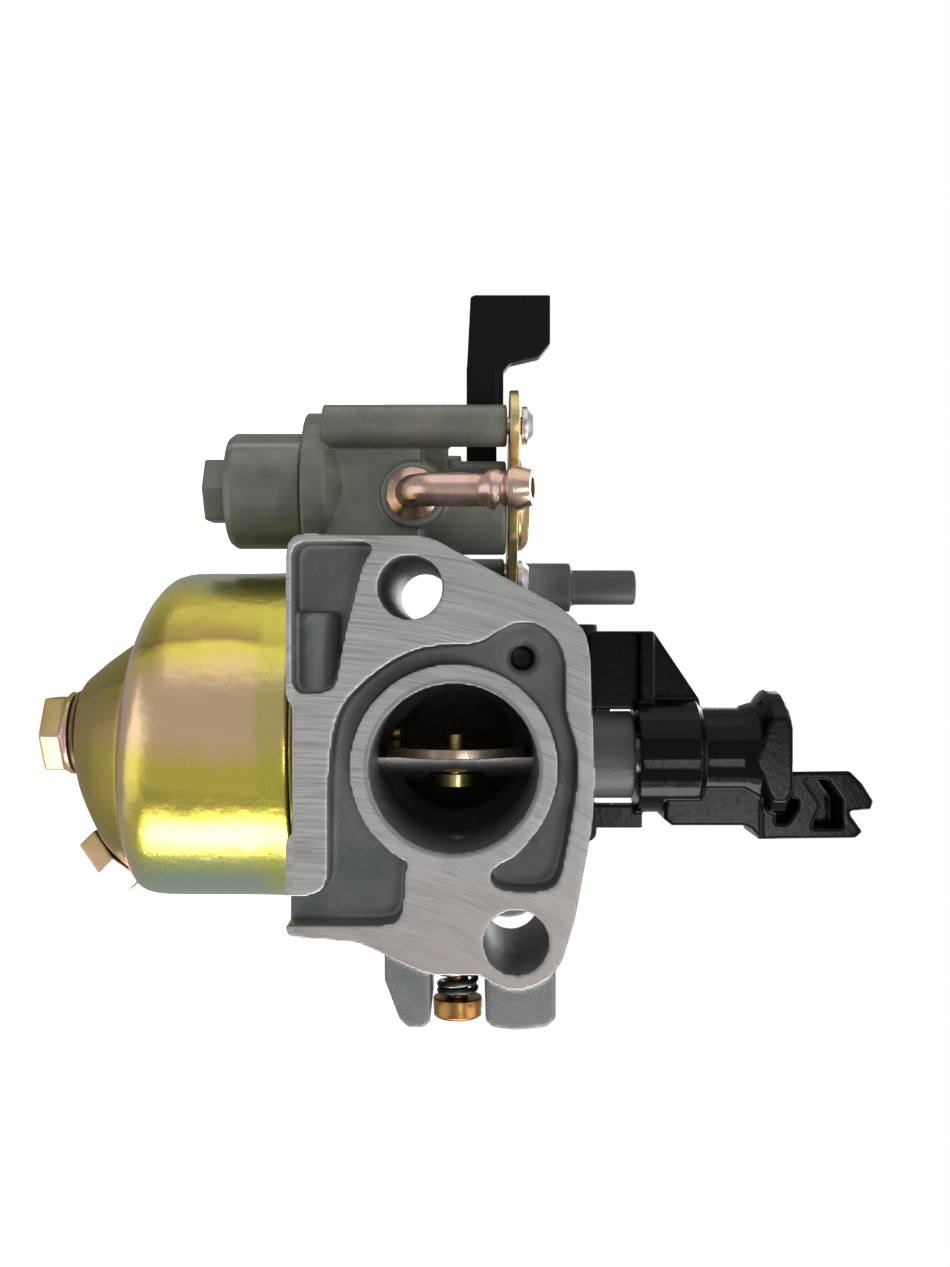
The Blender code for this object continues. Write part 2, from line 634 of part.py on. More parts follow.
def make_throttle(mat):
    axis = (0, THROTTLE_Y, 0)
    top = 35.4
    shaft = rod("shaft", THROTTLE_SHAFT_R, (0, THROTTLE_Y, -12.9), (0, THROTTLE_Y, top), 24)
    cut(
        shaft,
        box("plate_flat", (-4, THROTTLE_Y - 4, -9.9), (0.1, THROTTLE_Y + 4, 9.9)),
        box("head_flat", (2.0, THROTTLE_Y - 4, -3.4), (4, THROTTLE_Y + 4, 3.4)),
        rod("screw_hole", 1.6, (-1, THROTTLE_Y, 0), (4, THROTTLE_Y, 0), 14),
    )
    finish(shaft, "throttle_shaft", mat["steel"], axis)
    plate = rod("plate", THROTTLE_R - 0.25, (-0.2 - PLATE, THROTTLE_Y, 0), (-0.2, THROTTLE_Y, 0), 40)
    cut(plate, rod("screw_hole", 1.6, (-4, THROTTLE_Y, 0), (4, THROTTLE_Y, 0), 14))
    finish(plate, "throttle_plate", mat["zinc"], axis)
    screw = rod("screw", 1.25, (-2.6, THROTTLE_Y, 0), (3.0, THROTTLE_Y, 0), 14)
    join(screw, rod("head", 2.5, (2.3, THROTTLE_Y, 0), (3.8, THROTTLE_Y, 0), 20))
    cut(screw, box("slot", (3.1, THROTTLE_Y - 0.35, -4), (5, THROTTLE_Y + 0.35, 4)))
    finish(screw, "throttle_plate_screw", mat["zinc"], axis)
    seal = washer("seal", 3.05, 4.0, (0, THROTTLE_Y, 20.5), (0, THROTTLE_Y, 21.9), 24)
    finish(seal, "throttle_shaft_seal", mat["rubber"])


def fork_outline():
    """The notched fork on the throttle lever's end, x and z."""
    return (
        [(1.7, 38.5), (1.6, 48.2), (3.2, 49.8), (5.3, 51.1), (6.3, 50.8), (6.5, 48.2)]
        + [(7.1, 48.4), (9.05, 49.8), (9.8, 48.9), (9.95, 37.0), (7.0, 37.0)]
    )


def fork_hollows():
    """The two hollows moulded in the fork's front, either side of its bent rib."""
    return (
        [(2.7, 42.8), (2.7, 45.5), (5.3, 47.3), (6.5, 47.2), (8.6, 47.4), (8.6, 43.6), (5.7, 44.8)],
        [(5.0, 41.9), (6.0, 41.9), (8.0, 40.6), (8.0, 39.2), (5.0, 39.2)],
    )


def make_throttle_lever(mat):
    """The moulded lever: a stepped hub, a notched fork, a web arm and a stop finger."""
    y = THROTTLE_Y
    base = THROTTLE_BOSS_Z + GAP
    upright = along((0, 0, 1), (0, y, 0))
    hub = turned(
        "hub",
        [(7.15, base), (7.15, 29.8), (6.1, 30.4), (6.1, 35.2), (6.7, 37.2), (7.6, 37.9)]
        + [(8.2, 38.5), (8.2, 40.1), (7.5, 40.8)],
        upright,
        36,
    )
    cut(hub, box("head_flat", (-12, y - 12, 36.5), (12, y - 6.5, 43)))
    web = prism(
        "web",
        [(-3, 16.6), (-15.0, 16.6), (-15.5, 17.0), (-15.5, 24.7), (-7.0, 30.4), (-3, 31.0)],
        y - 1.1,
        y + 1.1,
    )
    cut(web, rod("web_clearance", THROTTLE_BOSS_R + 0.4, (0, y, 10), (0, y, base)))
    ledge = box("web_ledge", (-15.5, y - 2.6, 22.8), (-5, y + 2.6, 24.6))
    finger = box("finger", (6.2, y - 1.5, 14.1), (9.0, y + 1.5, 23.2))
    rib = prism(
        "rib",
        [(2.4, 26.0), (7.4, 25.4), (8.2, 26.4), (8.2, 35.2), (8.7, 36.2), (9.9, 37.3), (2.4, 37.3)],
        y - 5.0,
        y + 4.5,
    )
    fork = prism("fork", fork_outline(), y - 4.5, y + 4.5)
    for i, hollow in enumerate(fork_hollows()):
        cut(fork, prism(f"fork_hollow_{i}", hollow, y - 6, y))
    join(hub, web, ledge, finger, rib, fork)
    cut(hub, rod("shaft_socket", 3.05, (0, y, 20), (0, y, 35.8), 24))
    finish(hub, "throttle_lever", mat["plastic"], (0, y, 0))


def make_idle_stop(mat):
    """The screw that the throttle's stop finger closes against, and its spring."""
    y = 25.4
    screw = rod("screw", 1.5, (-15.0, y, SCREW_Z), (-0.9, y, SCREW_Z), 14)
    join(screw, rod("head", 3.0, (-16.4, y, SCREW_Z), (-13.9, y, SCREW_Z), 20))
    cut(screw, box("slot", (-18, y - 0.4, SCREW_Z - 4), (-15.4, y + 0.4, SCREW_Z + 4)))
    finish(screw, "idle_stop_screw", mat["plastic"], (-10, y, SCREW_Z))
    start = -13.6
    place = along((1, 0, 0), (start, y, SCREW_Z))
    spring = coil("spring", place, 2.3, 0.3, -10.8 - start, 2.5)
    finish(spring, "idle_stop_spring", mat["spring"])


def make_pilot_screw(mat):
    """The idle mixture screw with its slotted brass head, and the spring under the head."""
    y, z = PILOT_Y, PILOT_Z
    profile = [(0.5, 10.2), (1.3, 13.5), (1.3, 28.8), (2.95, 28.8), (2.95, 30.9), (2.6, 31.2)]
    screw = turned("screw", profile, along((1, 0, 0), (0, y, z)), 24)
    cut(screw, box("slot", (30.2, y - 0.5, z - 4), (32, y + 0.5, z + 4)))
    finish(screw, "pilot_screw", mat["brass"], (20, y, z))
    start = 23.9
    place = along((1, 0, 0), (start, y, z))
    spring = coil("spring", place, 2.2, 0.4, 28.5 - start, 4)
    finish(spring, "pilot_screw_spring", mat["spring"])


def make_choke(mat):
    y = CHOKE_Y
    axis = (0, y, 0)
    shaft = rod("shaft", CHOKE_SHAFT_R, (0, y, -14.9), (0, y, 20.8), 20)
    cut(
        shaft,
        box("plate_flat", (-4, y - 4, -12.3), (4, y - 0.1, 12.3)),
        rod("rivet_hole_low", 1.0, (0, y - 4, -4.4), (0, y + 4, -4.4), 12),
        rod("rivet_hole_high", 1.0, (0, y - 4, 4.4), (0, y + 4, 4.4), 12),
    )
    finish(shaft, "choke_shaft", mat["steel"], axis)
    plate = rod("plate", CHOKE_R - 0.3, (0, y - 0.4 - 0.9, 0), (0, y - 0.4, 0), 40)
    cut(
        plate,
        rod("rivet_hole_low", 1.0, (0, y - 4, -4.4), (0, y + 4, -4.4), 12),
        rod("rivet_hole_high", 1.0, (0, y - 4, 4.4), (0, y + 4, 4.4), 12),
    )
    finish(plate, "choke_plate", mat["zinc"], axis)
    for name, z in (("choke_plate_rivet_1", -4.4), ("choke_plate_rivet_2", 4.4)):
        rivet = rod("rivet", 0.7, (0, y - 1.8, z), (0, y + 3.0, z), 12)
        join(rivet, rod("head", 1.6, (0, y - 2.5, z), (0, y - 1.6, z), 16))
        finish(rivet, name, mat["zinc"], axis)
    seal = washer("seal", 2.5, 3.3, (0, y, 16.3), (0, y, 17.6), 20)
    finish(seal, "choke_shaft_seal", mat["rubber"])


def make_choke_lever(mat):
    """The moulded choke lever: a disc, an arm that ends in an upturned tab."""
    y = CHOKE_Y
    base = CHOKE_BOSS_Z + GAP
    profile = [(6.2, base), (6.2, 20.9), (4.4, 21.4), (4.4, 24.0)]
    lever = turned("hub", profile, along((0, 0, 1), (0, y, 0)), 28)
    arm = prism(
        "arm",
        [(-4.2, y), (-2.6, y + 17), *arc((0, y + 17), 2.6, 180, 0, 8)[1:-1], (2.6, y + 17), (4.2, y)],
        base,
        base + 2.6,
        "Z",
    )
    tab = box("tab", (-2.5, y + 16.6, base + 1), (2.5, y + 18.6, base + 8.6))
    join(lever, arm, tab)
    cut(lever, rod("shaft_socket", 2.5, (0, y, 15), (0, y, 21.2), 20))
    finish(lever, "choke_lever", mat["plastic"], (0, y, 0))


def make_fuel_valve(mat):
    x, y = VALVE
    seal = rod("seal", 4.8, (x, y, VALVE_BASE + GAP), (x, y, 0.7), 28)
    cut(
        seal,
        rod("port_cup", 0.9, (x - 2.2, y, -3), (x - 2.2, y, 3), 10),
        rod("port_out", 0.9, (x + 2.2, y, -3), (x + 2.2, y, 3), 10),
    )
    finish(seal, "fuel_valve_seal", mat["rubber"])
    lever = rod("lever", 4.8, (x, y, 1.0), (x, y, 5.2), 28)
    tab = [(-59.3, 2.3), (-59.0, 1.8), (-49.0, 1.3), (-49.0, 5.8), (-50.4, 7.0), (-51.3, 10.8)]
    tab += [(-53.0, 12.2), (-59.3, 12.2)]
    join(
        lever,
        box("arm", (-50.0, y - 2.2, 1.3), (x - 3, y + 2.2, 5.2)),
        box("arm_rib", (-50.0, y - 1.4, 1.3), (-40.0, y + 1.4, 6.1)),
        prism("tab", tab, y - 1.4, y + 1.4),
    )
    cut(lever, rod("groove", 1.0, (x, y - 2.3, 0.3), (x, y + 2.3, 0.3), 10))
    finish(lever, "fuel_valve_lever", mat["plastic"], (x, y, 0))
    wave = washer("wave", 2.8, 4.4, (x, y, 5.5), (x, y, 6.1), 24)
    finish(wave, "fuel_valve_wave_washer", mat["steel"])
    ends = [(px, py, 4.4) for px, py in VALVE_SCREWS]
    low = VALVE_TOP + GAP
    plate = prism("plate", hull_outline([*ends, (x, y, 6.6)], 20), low, low + 1.2, "Z")
    dome = [(6.0, low + 0.5), (6.0, low + 1.6), (5.1, low + 2.6), (3.8, low + 3.0)]
    join(plate, turned("dome", dome, along((0, 0, 1), (x, y, 0)), 28))
    for px, py in VALVE_SCREWS:
        cut(plate, rod("hole", 1.7, (px, py, 5), (px, py, 10), 14))
    finish(plate, "fuel_valve_plate", mat["zinc"])
    for number, (px, py) in enumerate(VALVE_SCREWS, 1):
        head = low + 1.2 + GAP
        screw = turned(
            "screw",
            [(1.1, 0.0), (1.1, head), (2.4, head), (2.4, head + 0.7), (1.6, head + 1.5)],
            along((0, 0, 1), (px, py, 0)),
            18,
        )
        cut(
            screw,
            box("slot_1", (px - 1.3, py - 0.25, head + 0.7), (px + 1.3, py + 0.25, head + 3)),
            box("slot_2", (px - 0.25, py - 1.3, head + 0.7), (px + 0.25, py + 1.3, head + 3)),
        )
        finish(screw, f"fuel_valve_screw_{number}", mat["steel"])


def make_inlet_pipe(mat):
    """The bent inlet pipe: a flared root, an elbow, a riser and a barb tilted outward."""
    x, z = INLET
    bend = 3.2
    rise_y = 10.0
    path = [Vector((x, depth, z)) for depth in (19.5, 15.0, 14.8, 14.3)]
    for i in range(0, 7):
        angle = math.radians(90 * i / 6)
        path.append(Vector((x, rise_y + bend - bend * math.sin(angle), z + bend - bend * math.cos(angle))))
    radii = [1.75] * 2 + [3.3] * 2 + [2.05] * 7
    lean = math.radians(14)
    base = Vector((x, rise_y, z + bend + 4.6))
    slope = Vector((0, -math.sin(lean), math.cos(lean)))
    barb = [(0.0, 2.05), (1.2, 2.05), (1.9, 2.45), (2.6, 2.45), (3.2, 2.05), (3.8, 2.05)]
    barb += [(4.4, 2.75), (5.2, 2.75), (7.0, 2.1)]
    for step, radius in barb:
        path.append(base + slope * step)
        radii.append(radius)
    pipe = tube("pipe", path, radii, 14, inner=1.3)
    finish(pipe, "fuel_inlet_pipe", mat["pink_zinc"])


def make_sediment_cup(mat):
    y = VALVE[1]
    place = along((0, 0, 1), (CUP_X, y, 0))
    rim = COLLAR_Z[0] - GAP
    cup = turned("cup", [(6.9, -29.5), (7.55, -28.6), (7.55, rim)], place, 36)
    join(cup, rod("nub", 4.6, (CUP_X, y, -32.6), (CUP_X, y, -29.0), 6, math.pi / 6))
    cut(cup, turned("hollow", [(4.6, -28.2), (6.2, -26.5), (6.2, -18)], place, 28))
    finish(cup, "sediment_cup", mat["aluminium"])
    ring = washer("ring", 5.0, 6.6, (CUP_X, y, rim + GAP), (CUP_X, y, -18.3), 28)
    finish(ring, "sediment_cup_seal", mat["rubber"])
    screen = rod("screen", 6.5, (CUP_X, y, -18.0), (CUP_X, y, -17.6), 24)
    join(screen, rod("stub", 2.0, (CUP_X, y, -17.8), (CUP_X, y, -14.2), 14))
    finish(screen, "fuel_strainer", mat["brass"])


def main():
    for obj in list(bpy.data.objects):
        bpy.data.objects.remove(obj)
    mat = make_materials()
    make_body(mat)
    make_bowl(mat)
    make_bowl_fittings(mat)
    make_drain(mat)
    make_float(mat)
    make_jets(mat)
    make_throttle(mat)
    make_throttle_lever(mat)
    make_idle_stop(mat)
    make_pilot_screw(mat)
    make_choke(mat)
    make_choke_lever(mat)
    make_fuel_valve(mat)
    make_inlet_pipe(mat)
    make_sediment_cup(mat)


main()
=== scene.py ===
"""Looks for the float carburetor: finer pieces and procedural materials around the CAD frame.

Everything is in metres, in the frame's own axes: +Z up, +Y from the engine flange toward
the air cleaner, +X toward the idle mixture screw. MM is one millimetre.
"""

import json
import math

import bmesh
import bpy
from mathutils import Matrix, Vector


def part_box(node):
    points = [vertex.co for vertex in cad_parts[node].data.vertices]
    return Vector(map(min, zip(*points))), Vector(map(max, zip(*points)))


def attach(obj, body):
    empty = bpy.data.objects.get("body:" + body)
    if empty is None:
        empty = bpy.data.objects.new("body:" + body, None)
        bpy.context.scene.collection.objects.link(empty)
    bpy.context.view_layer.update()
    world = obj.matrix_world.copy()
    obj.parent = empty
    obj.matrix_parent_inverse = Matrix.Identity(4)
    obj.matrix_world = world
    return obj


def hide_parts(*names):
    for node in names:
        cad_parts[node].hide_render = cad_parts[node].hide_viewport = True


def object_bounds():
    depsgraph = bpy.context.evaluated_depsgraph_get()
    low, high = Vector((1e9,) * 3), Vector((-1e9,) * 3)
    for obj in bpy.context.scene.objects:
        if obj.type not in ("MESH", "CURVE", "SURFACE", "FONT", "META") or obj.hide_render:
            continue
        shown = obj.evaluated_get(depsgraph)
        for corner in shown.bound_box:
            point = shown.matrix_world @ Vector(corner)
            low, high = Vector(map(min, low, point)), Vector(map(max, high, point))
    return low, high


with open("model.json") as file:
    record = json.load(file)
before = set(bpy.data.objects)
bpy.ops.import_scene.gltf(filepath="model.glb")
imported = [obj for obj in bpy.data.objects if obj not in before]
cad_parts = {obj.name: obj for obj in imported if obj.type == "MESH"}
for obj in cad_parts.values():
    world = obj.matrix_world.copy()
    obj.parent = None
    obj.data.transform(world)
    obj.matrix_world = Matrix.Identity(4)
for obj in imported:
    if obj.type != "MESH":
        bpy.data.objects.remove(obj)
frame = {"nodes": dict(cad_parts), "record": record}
CAD_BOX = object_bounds()

MM = 0.001
FLOOR_DROP = 0.5 * MM
NODE_BODY = {
    node: body for body, nodes in frame["record"]["behaviour"]["bodies"].items() for node in nodes
}

# Camera: seen from the engine side, rolled so that the bowl hangs to the left.
CAMERA_AT = Vector((-15.2, -150.0, 2.4)) * MM
CAMERA_AXES = ((0, 0, 1), (-1, 0, 0), (0, -1, 0))  # its right, up and back, in the frame
LENS = 37.9
SENSOR = 36.0


# ---------------------------------------------------------------- node helpers


class Look:
    """Builds one procedural material; coordinates are the piece's own, in millimetres."""

    def __init__(self, name):
        self.material = bpy.data.materials.new(name)
        self.material.use_nodes = True
        self.tree = self.material.node_tree
        self.shader = self.tree.nodes["Principled BSDF"]
        coordinates = self.tree.nodes.new("ShaderNodeTexCoord")
        scale = self.tree.nodes.new("ShaderNodeVectorMath")
        scale.operation = "SCALE"
        scale.inputs["Scale"].default_value = 1 / MM
        self.tree.links.new(coordinates.outputs["Object"], scale.inputs[0])
        self.mm = scale.outputs[0]
        self.normal = coordinates.outputs["Normal"]

    def put(self, socket, value):
        """Links a node's output to a socket, or sets the socket to a number or colour."""
        if isinstance(value, bpy.types.NodeSocket):
            self.tree.links.new(value, socket)
        elif hasattr(value, "__len__") and socket.type == "RGBA":
            socket.default_value = (*value[:3], 1)
        else:
            socket.default_value = value

    def set(self, **values):
        for name, value in values.items():
            self.put(self.shader.inputs[name.replace("_", " ")], value)

    def math(self, operation, a, b=0.0, c=0.0, clamp=False):
        node = self.tree.nodes.new("ShaderNodeMath")
        node.operation = operation
        node.use_clamp = clamp
        for socket, value in zip(node.inputs, (a, b, c)):
            self.put(socket, value)
        return node.outputs[0]

    def vector(self, operation, a, b=(0, 0, 0)):
        node = self.tree.nodes.new("ShaderNodeVectorMath")
        node.operation = operation
        self.put(node.inputs[0], a)
        self.put(node.inputs[1], b)
        return node.outputs["Value"] if operation in ("LENGTH", "DOT_PRODUCT") else node.outputs[0]

    def parts(self, vector):
        node = self.tree.nodes.new("ShaderNodeSeparateXYZ")
        self.put(node.inputs[0], vector)
        return node.outputs[0], node.outputs[1], node.outputs[2]

    def whole(self, x, y, z):
        node = self.tree.nodes.new("ShaderNodeCombineXYZ")
        for socket, value in zip(node.inputs, (x, y, z)):
            self.put(socket, value)
        return node.outputs[0]

    def noise(self, scale, vector=None, detail=3.0, rough=0.55, warp=0.0):
        node = self.tree.nodes.new("ShaderNodeTexNoise")
        self.put(node.inputs["Vector"], self.mm if vector is None else vector)
        node.inputs["Scale"].default_value = scale
        node.inputs["Detail"].default_value = detail
        node.inputs["Roughness"].default_value = rough
        node.inputs["Distortion"].default_value = warp
        return node.outputs["Fac"]

    def ramp(self, value, *stops):
        """Colours or grey levels by position: each stop is (position, grey or colour)."""
        node = self.tree.nodes.new("ShaderNodeValToRGB")
        elements = node.color_ramp.elements
        while len(elements) < len(stops):
            elements.new(1.0)
        for element, (position, colour) in zip(elements, stops):
            element.position = position
            element.color = (*colour, 1) if hasattr(colour, "__len__") else (colour,) * 3 + (1,)
        self.put(node.inputs[0], value)
        return node.outputs[0]

    def step(self, value, low, high):
        """0 below `low`, 1 above `high`, smooth between."""
        node = self.tree.nodes.new("ShaderNodeMapRange")
        node.interpolation_type = "SMOOTHSTEP"
        for socket, number in zip(node.inputs[1:5], (low, high, 0.0, 1.0)):
            socket.default_value = number
        self.put(node.inputs[0], value)
        return node.outputs[0]

    def mix(self, share, a, b, blend="MIX"):
        node = self.tree.nodes.new("ShaderNodeMix")
        node.data_type = "RGBA"
        node.blend_type = blend
        self.put(node.inputs["Factor"], share)
        self.put(node.inputs[6], a)
        self.put(node.inputs[7], b)
        return node.outputs[2]

    def bump(self, height, depth, strength=1.0, under=None):
        """Raises the surface by `depth` millimetres where height is 1."""
        node = self.tree.nodes.new("ShaderNodeBump")
        node.inputs["Strength"].default_value = strength
        node.inputs["Distance"].default_value = depth * MM
        self.put(node.inputs["Height"], height)
        if under is not None:
            self.put(node.inputs["Normal"], under)
        return node.outputs[0]

    def edges(self, low=0.5, high=0.62):
        """1 on convex edges, from the mesh's own pointiness."""
        node = self.tree.nodes.new("ShaderNodeNewGeometry")
        return self.step(node.outputs["Pointiness"], low, high)


# ---------------------------------------------------------------- materials

MILL_CENTRE = (64.0, -18.0)  # x, z in mm that the face mill's arcs go round
FACE_Y = 48.5
PETCOCK_X = -27.5


def cast_look():
    """Grey die-cast alloy: fine grain, greenish hollows, milled flange faces with arc marks."""
    look = Look("cast_alloy")
    x, y, z = look.parts(look.mm)
    grain = look.noise(2.6, detail=5, rough=0.65)
    cloud = look.noise(0.16, detail=3)
    flow = look.noise(0.5, detail=4, rough=0.6, warp=0.6)
    cast = look.ramp(
        cloud, (0.3, (0.150, 0.166, 0.162)), (0.5, (0.195, 0.205, 0.198)), (0.75, (0.235, 0.232, 0.222))
    )
    cast = look.mix(look.step(flow, 0.55, 0.75), cast, (0.255, 0.257, 0.248))
    stain = look.step(look.noise(0.9, detail=5, rough=0.7), 0.6, 0.78)
    cast = look.mix(look.math("MULTIPLY", stain, 0.5), cast, (0.10, 0.11, 0.105))
    olive = look.ramp(cloud, (0.3, (0.172, 0.176, 0.146)), (0.7, (0.256, 0.254, 0.214)))
    shaded = look.math("MULTIPLY", look.step(z, 10.0, 15.0), look.step(y, 8.5, 10.5))
    cast = look.mix(look.math("MULTIPLY", shaded, 0.85), cast, (0.070, 0.070, 0.074))
    on_petcock = look.math("SUBTRACT", 1.0, look.step(x, PETCOCK_X - 0.6, PETCOCK_X + 0.6))
    cast = look.mix(on_petcock, cast, olive)
    # milled faces
    across = look.math("SUBTRACT", x, MILL_CENTRE[0])
    up = look.math("SUBTRACT", z, MILL_CENTRE[1])
    radius = look.vector("LENGTH", look.whole(across, up, 0.0))
    along = look.math("ARCTAN2", up, across)
    arc_space = look.whole(look.math("MULTIPLY", radius, 4.0), look.math("MULTIPLY", along, 5.0), 0.0)
    marks = look.noise(1.0, arc_space, detail=6, rough=0.75)
    broad_space = look.whole(look.math("MULTIPLY", radius, 0.5), look.math("MULTIPLY", along, 4.0), 3.0)
    broad = look.noise(1.0, broad_space, detail=3, rough=0.6)
    scratch_space = look.whole(look.math("MULTIPLY", radius, 6.0), look.math("MULTIPLY", along, 9.0), 7.0)
    scratches = look.step(look.noise(1.0, scratch_space, detail=2, rough=0.5), 0.6, 0.68)
    milled = look.ramp(
        broad, (0.3, (0.33, 0.325, 0.315)), (0.5, (0.41, 0.405, 0.39)), (0.7, (0.50, 0.50, 0.48))
    )
    milled = look.mix(look.math("MULTIPLY", look.step(marks, 0.42, 0.62), 0.6), milled, (0.66, 0.66, 0.64))
    milled = look.mix(look.math("MULTIPLY", scratches, 0.7), milled, (0.18, 0.175, 0.165))
    shade = look.step(z, -22.0, 16.0)
    milled = look.mix(look.math("MULTIPLY", shade, 0.45), milled, (0.22, 0.22, 0.215))
    blush = look.step(look.math("ADD", x, look.math("MULTIPLY", flow, 14.0)), 8.0, 30.0)
    milled = look.mix(look.math("MULTIPLY", blush, 0.5), milled, (0.44, 0.365, 0.345))
    front = look.math("SUBTRACT", 1.0, look.step(y, 0.03, 0.09))
    back = look.step(y, FACE_Y - 0.09, FACE_Y - 0.03)
    is_face = look.math("MAXIMUM", front, back)
    bore = look.vector("LENGTH", look.whole(x, z, 0.0))
    outside = look.step(bore, 9.9, 10.3)
    in_bore = look.math("MULTIPLY", look.step(bore, 7.0, 7.4), look.math("SUBTRACT", 1.0, outside))
    in_bore = look.math("MULTIPLY", in_bore, look.math("SUBTRACT", 1.0, look.step(y, 21.0, 24.0)))
    ring_space = look.whole(look.math("MULTIPLY", y, 5.0), look.math("MULTIPLY", bore, 0.3), 0.0)
    turned_marks = look.noise(1.0, ring_space, detail=4)
    colour = look.mix(is_face, cast, milled)
    colour = look.mix(look.math("MULTIPLY", in_bore, 0.8), colour, (0.20, 0.195, 0.185))
    worn = look.math("MULTIPLY", look.edges(0.52, 0.6), look.step(look.noise(1.4), 0.35, 0.6))
    colour = look.mix(look.math("MULTIPLY", worn, 0.22), colour, (0.55, 0.55, 0.53))
    rough = look.math("MULTIPLY_ADD", flow, 0.18, 0.40)
    rough = look.math("SUBTRACT", rough, look.math("MULTIPLY", is_face, 0.10))
    rough = look.math("ADD", rough, look.math("MULTIPLY", look.math("SUBTRACT", marks, 0.5), 0.2))
    plain = look.math("SUBTRACT", 1.0, is_face)
    bumps = look.bump(look.math("MULTIPLY", grain, plain), 0.10, 0.75)
    bumps = look.bump(look.math("MULTIPLY", marks, is_face), 0.03, 0.9, bumps)
    bumps = look.bump(look.math("MULTIPLY", turned_marks, in_bore), 0.02, 0.6, bumps)
    look.set(Base_Color=colour, Roughness=rough, Normal=bumps, Metallic=0.55)
    return look.material


def bowl_look(centre):
    """Yellow zinc plating on pressed steel, its film shifting from olive to gold, pink and teal."""
    look = Look("yellow_zinc_bowl")
    x, y, z = look.parts(look.mm)
    side = look.math("SUBTRACT", x, centre.x / MM)
    depth = look.math("SUBTRACT", centre.y / MM, y)
    angle = look.math("ARCTAN2", side, depth)
    warp = look.noise(0.11, detail=3, warp=0.4)
    across = look.math("MULTIPLY", angle, 16.0)
    drawn = look.noise(1.0, look.whole(across, look.math("MULTIPLY", z, 0.06), 0.0), detail=4)
    turn = look.math("DIVIDE", angle, math.pi)
    turn = look.math("ADD", turn, look.math("MULTIPLY", look.math("SUBTRACT", warp, 0.5), 0.10))
    turn = look.math("ADD", turn, look.math("MULTIPLY", look.math("SUBTRACT", drawn, 0.5), 0.03))
    turn = look.math("MULTIPLY_ADD", turn, 0.5, 0.5)
    sage, olive, gold = (0.56, 0.56, 0.30), (0.60, 0.50, 0.09), (0.84, 0.68, 0.12)
    tan, pink, brown = (0.92, 0.66, 0.24), (0.98, 0.68, 0.40), (0.40, 0.27, 0.08)
    lime, teal = (0.66, 0.66, 0.18), (0.46, 0.56, 0.38)
    film = look.ramp(
        turn,
        (0.00, olive), (0.08, teal), (0.16, gold), (0.24, sage), (0.30, sage), (0.34, gold),
        (0.375, olive), (0.402, brown), (0.414, gold), (0.432, tan), (0.448, pink), (0.49, pink),
        (0.507, tan), (0.518, gold), (0.534, gold), (0.548, olive), (0.575, gold), (0.60, gold),
        (0.618, lime), (0.65, teal), (0.72, teal), (0.80, gold), (0.90, tan), (1.00, olive),
    )
    rim_band = look.step(look.math("ADD", z, look.math("MULTIPLY", warp, 2.0)), -22.6, -21.4)
    film = look.mix(look.math("MULTIPLY", rim_band, 0.5), film, (0.70, 0.66, 0.10))
    tilt = look.math("MULTIPLY", side, 0.012)
    ledge = look.math("ADD", z, tilt)
    low = look.math("SUBTRACT", 1.0, look.step(ledge, -41.2, -40.4))
    sump = look.ramp(
        warp,
        (0.3, (0.28, 0.27, 0.07)), (0.45, (0.36, 0.25, 0.07)),
        (0.6, (0.31, 0.26, 0.06)), (0.75, (0.26, 0.28, 0.11)),
    )
    film = look.mix(look.math("MULTIPLY", low, 0.85), film, sump)
    # pink-grey band along the ridge above the sump: partly the plating's own colour, partly a painted soft
    # highlight on the ridge
    above_band = look.step(ledge, -39.6, -37.0)
    ridge_tint_and_highlight = look.math("MULTIPLY", look.step(ledge, -41.0, -40.3), look.math("SUBTRACT", 1.0, above_band))
    film = look.mix(look.math("MULTIPLY", ridge_tint_and_highlight, 0.6), film, (0.62, 0.44, 0.34))
    speckle = look.step(look.noise(3.2, detail=5, rough=0.7), 0.62, 0.74)
    film = look.mix(look.math("MULTIPLY", speckle, 0.12), film, (0.30, 0.22, 0.08))
    fine = look.noise(7.0, detail=4, rough=0.7)
    rough = look.math("MULTIPLY_ADD", fine, 0.16, 0.19)
    rough = look.math("ADD", rough, look.math("MULTIPLY", low, 0.22))
    bumps = look.bump(fine, 0.012, 0.6)
    bumps = look.bump(drawn, 0.03, 0.5, bumps)
    bumps = look.bump(look.noise(0.35, detail=2), 0.25, 0.35, bumps)
    look.set(Base_Color=film, Roughness=rough, Normal=bumps, Metallic=1.0)
    return look.material


def plated_look(name, stops, roughness=0.24, scale=0.28, dirt=0.2):
    """Bright plating whose film colour drifts through `stops`; used on screws, plates and the pipe."""
    look = Look(name)
    drift = look.noise(scale, detail=3, warp=0.8)
    count = len(stops)
    film = look.ramp(drift, *[(0.3 + 0.4 * i / (count - 1), colour) for i, colour in enumerate(stops)])
    fine = look.noise(6.0, detail=4, rough=0.7)
    grime = look.step(look.noise(1.3, detail=5, rough=0.7), 0.58, 0.75)
    film = look.mix(look.math("MULTIPLY", grime, dirt), film, (0.08, 0.06, 0.03))
    worn = look.edges(0.53, 0.62)
    film = look.mix(look.math("MULTIPLY", worn, 0.35), film, (0.85, 0.76, 0.58))
    rough = look.math("MULTIPLY_ADD", fine, 0.2, roughness - 0.08)
    bumps = look.bump(fine, 0.015, 0.7)
    bumps = look.bump(look.noise(1.1, detail=2), 0.05, 0.4, bumps)
    look.set(Base_Color=film, Roughness=rough, Normal=bumps, Metallic=1.0)
    return look.material


